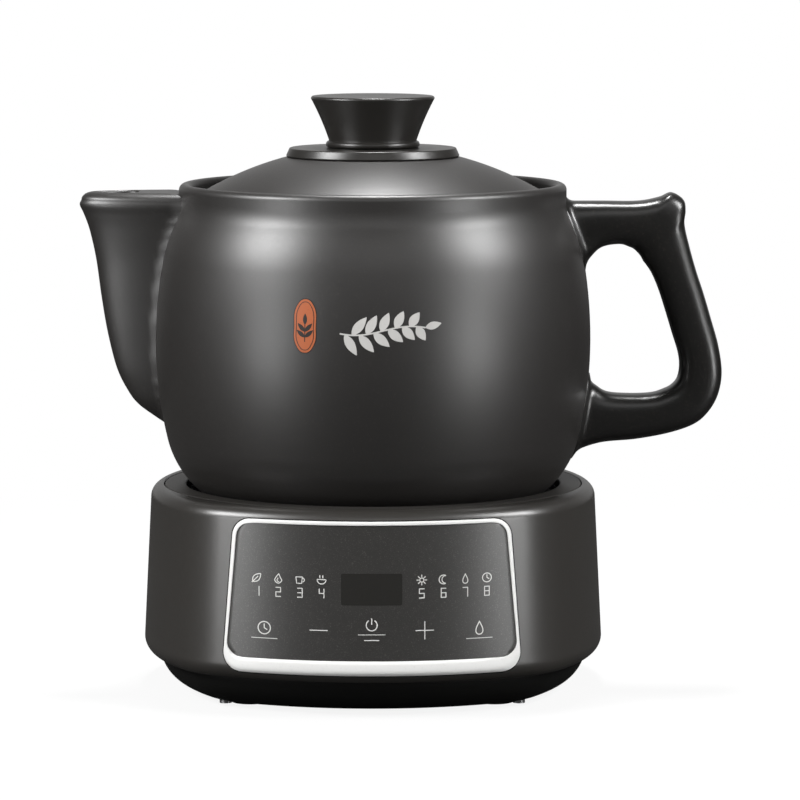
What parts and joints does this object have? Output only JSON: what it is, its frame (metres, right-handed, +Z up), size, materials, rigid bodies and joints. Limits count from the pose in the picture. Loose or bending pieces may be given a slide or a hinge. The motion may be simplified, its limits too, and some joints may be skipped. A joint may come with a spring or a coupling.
{
  "type": "electric herb decoction pot",
  "caption": "Dark stoneware pot with a spout, a loop handle and a loose domed lid, standing in the well of a heated base with a touch panel.",
  "frame": {"origin": "where the base's upright axis meets the plane of its feet", "axes": "+Z up, the spout points to -X, the handle to +X, the control panel to -Y, the power inlet to +Y"},
  "size_m": [0.3102, 0.2231, 0.285],
  "materials": {
    "base_housing": "satin",
    "inner_plastic": "matte",
    "bottom_shell": "matte",
    "frame_plastic": "matte",
    "rubber": "matte",
    "screws": "satin",
    "top_ring": "satin",
    "steel_dish": "satin",
    "cast_aluminium": "matte",
    "heating_tube": "matte",
    "bracket_steel": "satin",
    "spring_steel": "polished",
    "sensor_cap": "satin",
    "fuse_ceramic": "matte",
    "circuit_board": "satin",
    "relay_case": "gloss",
    "transformer": "satin",
    "capacitor": "gloss",
    "terminal_block": "matte",
    "inlet_plastic": "satin",
    "inlet_pins": "polished",
    "control_panel": "satin",
    "panel_trim": "polished",
    "display_window": "gloss",
    "display_module": "matte",
    "light_plastic": "gloss",
    "buzzer": "matte",
    "stoneware": "satin",
    "handle_glaze": "satin",
    "gasket": "matte",
    "collar_plastic": "satin",
    "knob_plastic": "satin",
    "brass": "satin"
  },
  "bodies": {
    "base": {"housing": "base_housing", "housing_frame": "inner_plastic", "bottom_shell": "bottom_shell", "inner_frame": "frame_plastic", "rubber_feet": "rubber", "bottom_screws": "screws", "top_ring": "top_ring", "well_dish": "steel_dish", "hot_plate": "cast_aluminium", "heating_element": "heating_tube", "plate_bracket": "bracket_steel", "bracket_screws": "screws", "sensor_sleeve": "frame_plastic", "sensor_spring": "spring_steel", "thermal_fuse": "fuse_ceramic", "power_board": "circuit_board", "relay": "relay_case", "transformer": "transformer", "capacitor": "capacitor", "terminal_block": "terminal_block", "power_board_screws": "screws", "power_inlet": "inlet_plastic", "inlet_pins": "inlet_pins", "control_panel": "control_panel", "panel_trim": "panel_trim", "display_window": "display_window", "display_module": "display_module", "control_board": "circuit_board", "touch_springs": "spring_steel", "program_lights": "light_plastic", "buzzer": "buzzer", "control_board_screws": "screws"},
    "sensor": {"sensor_cap": "sensor_cap"},
    "pot": {"pot_body": "stoneware", "spout": "stoneware", "handle": "handle_glaze"},
    "lid": {"lid": "stoneware", "lid_gasket": "gasket", "knob_collar": "collar_plastic", "lid_knob": "knob_plastic", "knob_insert": "brass", "knob_washer": "screws", "knob_screw": "screws"}
  },
  "joints": [
    {"name": "pot_lift", "type": "slide", "parent": "base", "child": "pot", "axis": [0, 0, 1], "range_m": [0, 0.15]},
    {"name": "lid_lift", "type": "slide", "parent": "pot", "child": "lid", "axis": [0, 0, 1], "range_m": [0, 0.1]},
    {"name": "sensor_press", "type": "slide", "parent": "base", "child": "sensor", "axis": [0, 0, 1], "range_m": [-0.0025, 0], "stiffness_N_per_m": 150, "springref_m": 0.003, "deforming": ["sensor_spring"]}
  ]
}
